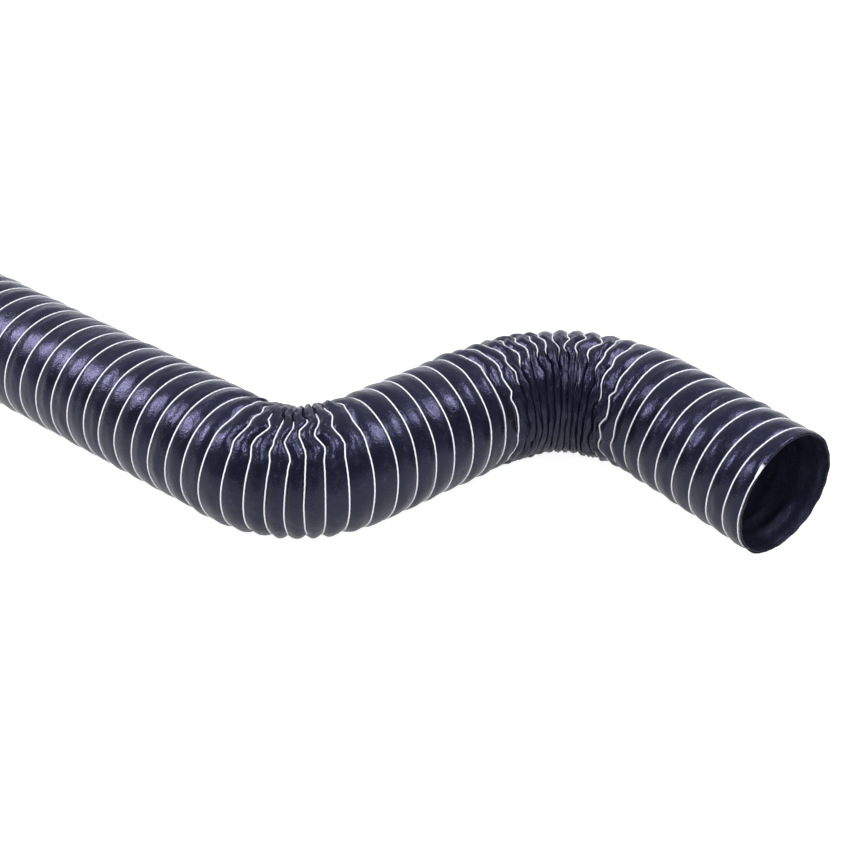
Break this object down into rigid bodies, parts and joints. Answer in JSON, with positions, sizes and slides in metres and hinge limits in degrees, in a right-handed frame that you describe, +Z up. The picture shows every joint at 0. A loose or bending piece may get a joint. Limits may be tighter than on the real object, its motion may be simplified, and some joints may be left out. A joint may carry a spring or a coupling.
{
  "type": "flexible air duct",
  "caption": "Flexible black coated-fabric air duct, wire-reinforced, with a white outer cord, open at both cut ends; it bends and stretches to join two spigots.",
  "frame": {"origin": "on the floor, under the middle of the duct's box", "axes": "+X from the tail towards the mouth, the way the S runs; +Y away from the side the mouth is seen from; +Z up"},
  "size_m": [0.8671, 0.4031, 0.1098],
  "materials": {
    "neoprene_outer": "semi-gloss neoprene coating over glass-fibre weave",
    "neoprene_inner": "matt neoprene coating over glass-fibre weave",
    "spring_steel": "drawn wire",
    "white_cord": "twisted glass-fibre cord"
  },
  "bodies": {
    "tail_end": {"inner_ply_1": "neoprene_inner", "outer_ply_1": "neoprene_outer", "wire_helix_1": "spring_steel", "white_cord_1": "white_cord", "inner_flex_1": "neoprene_inner", "outer_flex_1": "neoprene_outer"},
    "tail_run": {"inner_ply_2": "neoprene_inner", "outer_ply_2": "neoprene_outer", "wire_helix_2": "spring_steel", "white_cord_2": "white_cord", "inner_flex_2": "neoprene_inner", "outer_flex_2": "neoprene_outer"},
    "run_to_bend_1": {"inner_ply_3": "neoprene_inner", "outer_ply_3": "neoprene_outer", "wire_helix_3": "spring_steel", "white_cord_3": "white_cord", "inner_flex_3": "neoprene_inner", "outer_flex_3": "neoprene_outer"},
    "bend_1_ring": {"inner_ply_4": "neoprene_inner", "outer_ply_4": "neoprene_outer", "wire_helix_4": "spring_steel", "white_cord_4": "white_cord", "inner_flex_4": "neoprene_inner", "outer_flex_4": "neoprene_outer"},
    "middle_run": {"inner_ply_5": "neoprene_inner", "outer_ply_5": "neoprene_outer", "wire_helix_5": "spring_steel", "white_cord_5": "white_cord", "inner_flex_5": "neoprene_inner", "outer_flex_5": "neoprene_outer"},
    "bend_2_ring": {"inner_ply_6": "neoprene_inner", "outer_ply_6": "neoprene_outer", "wire_helix_6": "spring_steel", "white_cord_6": "white_cord", "inner_flex_6": "neoprene_inner", "outer_flex_6": "neoprene_outer"},
    "mouth_run": {"inner_ply_7": "neoprene_inner", "outer_ply_7": "neoprene_outer", "wire_helix_7": "spring_steel", "white_cord_7": "white_cord", "inner_flex_7": "neoprene_inner", "outer_flex_7": "neoprene_outer"},
    "mouth_end": {"inner_ply_8": "neoprene_inner", "outer_ply_8": "neoprene_outer", "wire_helix_8": "spring_steel", "white_cord_8": "white_cord"}
  },
  "joints": [
    {"name": "tail_stretch", "type": "slide", "parent": "tail_run", "child": "tail_end", "axis": [-0.7771, 0.6293, 0], "range_m": [-0.045, 0.004], "deforming": ["inner_flex_1", "outer_flex_1", "wire_helix_1", "white_cord_1"]},
    {"name": "tail_lift", "type": "hinge", "parent": "run_to_bend_1", "child": "tail_run", "pos_m": [-0.1823, -0.01633, 0.0549], "axis": [0.6293, 0.7771, 0], "range_deg": [0, 40], "deforming": ["inner_flex_2", "outer_flex_2", "wire_helix_2", "white_cord_2"]},
    {"name": "bend_1_a", "type": "hinge", "parent": "bend_1_ring", "child": "run_to_bend_1", "pos_m": [-0.04679, -0.1246, 0.0549], "axis": [0, 0, 1], "range_deg": [-8, 38], "deforming": ["inner_flex_3", "outer_flex_3", "wire_helix_3", "white_cord_3"]},
    {"name": "bend_1_b", "type": "hinge", "parent": "middle_run", "child": "bend_1_ring", "pos_m": [0.03635, -0.12533, 0.0549], "axis": [0, 0, 1], "range_deg": [-8, 38], "deforming": ["inner_flex_4", "outer_flex_4", "wire_helix_4", "white_cord_4"]},
    {"name": "bend_2_a", "type": "hinge", "parent": "middle_run", "child": "bend_2_ring", "pos_m": [0.16546, -0.02849, 0.0549], "axis": [0, 0, 1], "range_deg": [-8, 40], "deforming": ["inner_flex_5", "outer_flex_5", "wire_helix_5", "white_cord_5"]},
    {"name": "bend_2_b", "type": "hinge", "parent": "bend_2_ring", "child": "mouth_run", "pos_m": [0.2607, -0.02237, 0.0549], "axis": [0, 0, 1], "range_deg": [-8, 42], "deforming": ["inner_flex_6", "outer_flex_6", "wire_helix_6", "white_cord_6"]},
    {"name": "mouth_lift", "type": "hinge", "parent": "mouth_run", "child": "mouth_end", "pos_m": [0.34631, -0.11116, 0.0549], "axis": [-0.788, -0.6157, 0], "range_deg": [0, 35], "deforming": ["inner_flex_7", "outer_flex_7", "wire_helix_7", "white_cord_7"]}
  ]
}
